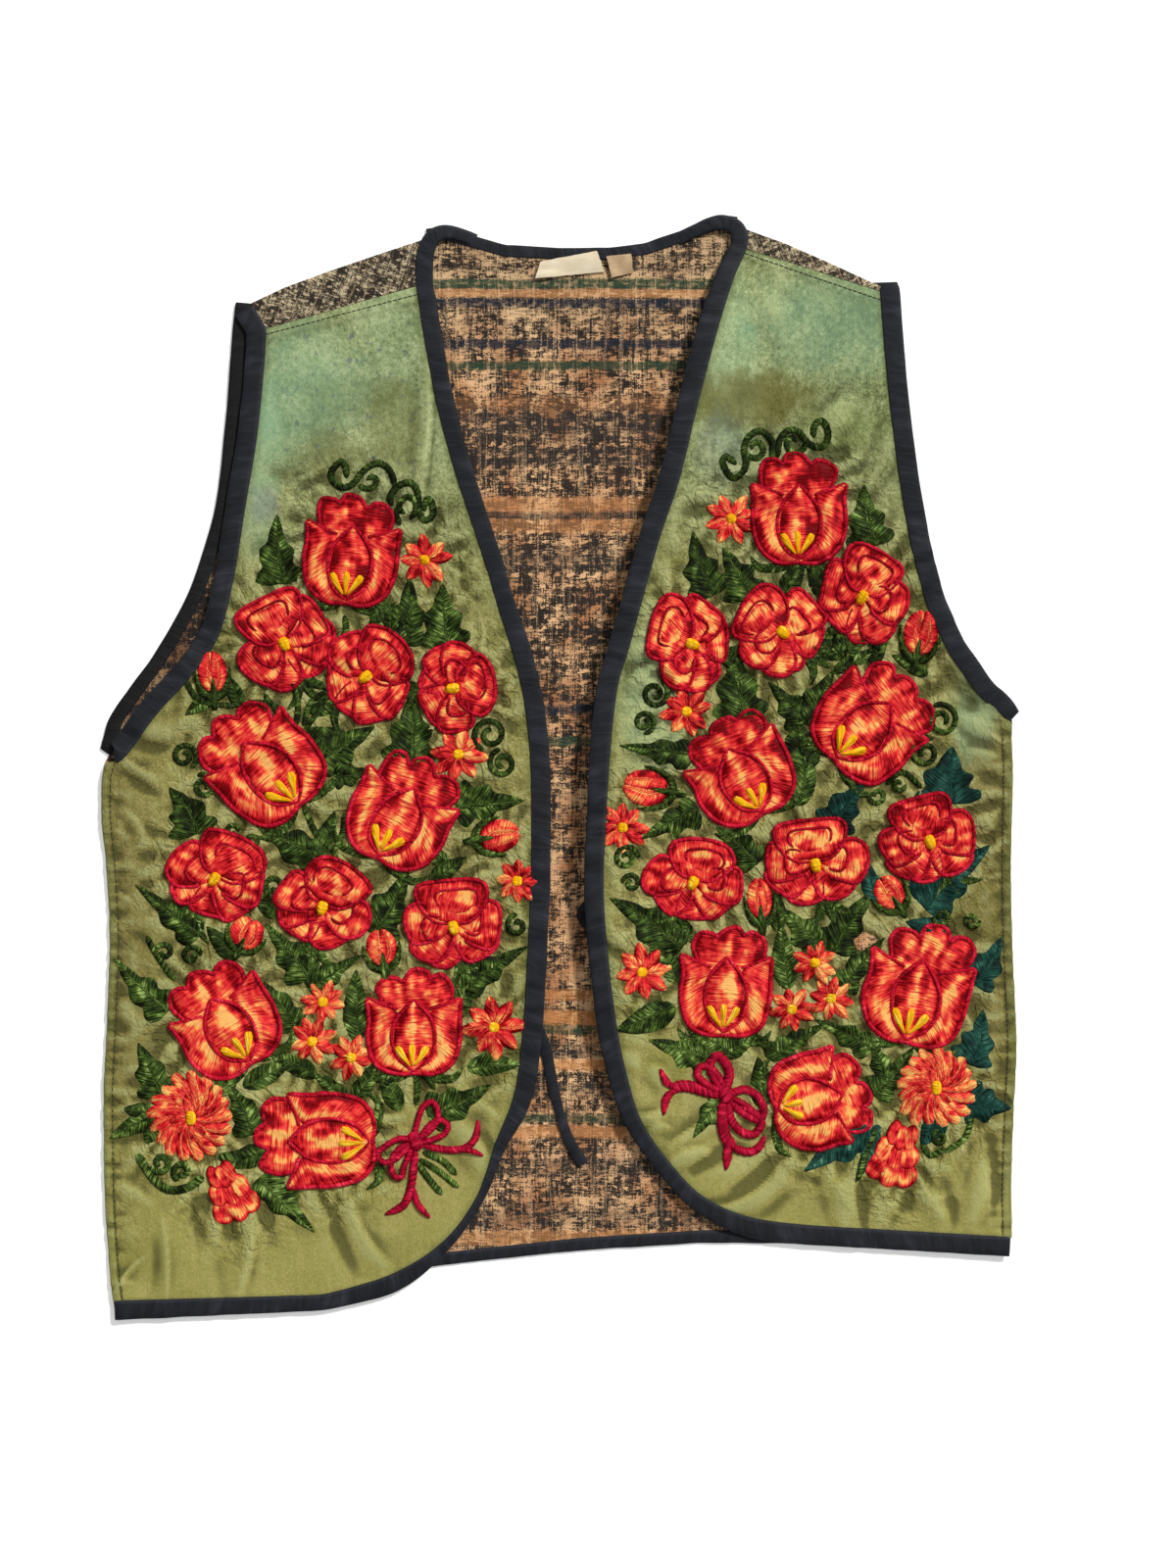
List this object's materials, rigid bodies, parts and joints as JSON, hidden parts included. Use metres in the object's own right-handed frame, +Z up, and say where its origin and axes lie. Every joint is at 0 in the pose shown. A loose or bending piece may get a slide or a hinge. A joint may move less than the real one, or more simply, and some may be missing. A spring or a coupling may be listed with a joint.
{
  "type": "embroidered waistcoat",
  "caption": "Open sleeveless waistcoat lying flat: raised flower embroidery on olive fronts, ikat back, dark bound edges and narrow ties.",
  "frame": {"origin": "centre of the waistcoat's box in plan, on the surface that it lies on", "axes": "+Y from the hem to the neck, +X to the wearer's left, +Z up from the surface through the back to the fronts"},
  "size_m": [0.5154, 0.6206, 0.0141],
  "materials": {
    "ikat": "woven ikat cotton, matt, orange and charcoal",
    "olive": "plain cotton, matt, olive green with raised embroidery",
    "navy": "plain cotton, matt, black-navy",
    "cream": "plain cotton tape, matt, cream",
    "tan": "plain cotton tape, matt, tan"
  },
  "bodies": {
    "root": {"back_panel": "ikat", "right_front_panel": "olive", "left_front_panel": "olive", "back_neck_binding": "navy", "right_front_binding": "navy", "left_front_binding": "navy", "back_hem_binding": "navy", "right_armhole_front_binding": "navy", "left_armhole_front_binding": "navy", "right_armhole_back_binding": "navy", "left_armhole_back_binding": "navy", "right_tie": "navy", "left_tie": "navy", "label_main": "cream", "label_side": "tan"}
  },
  "joints": []
}
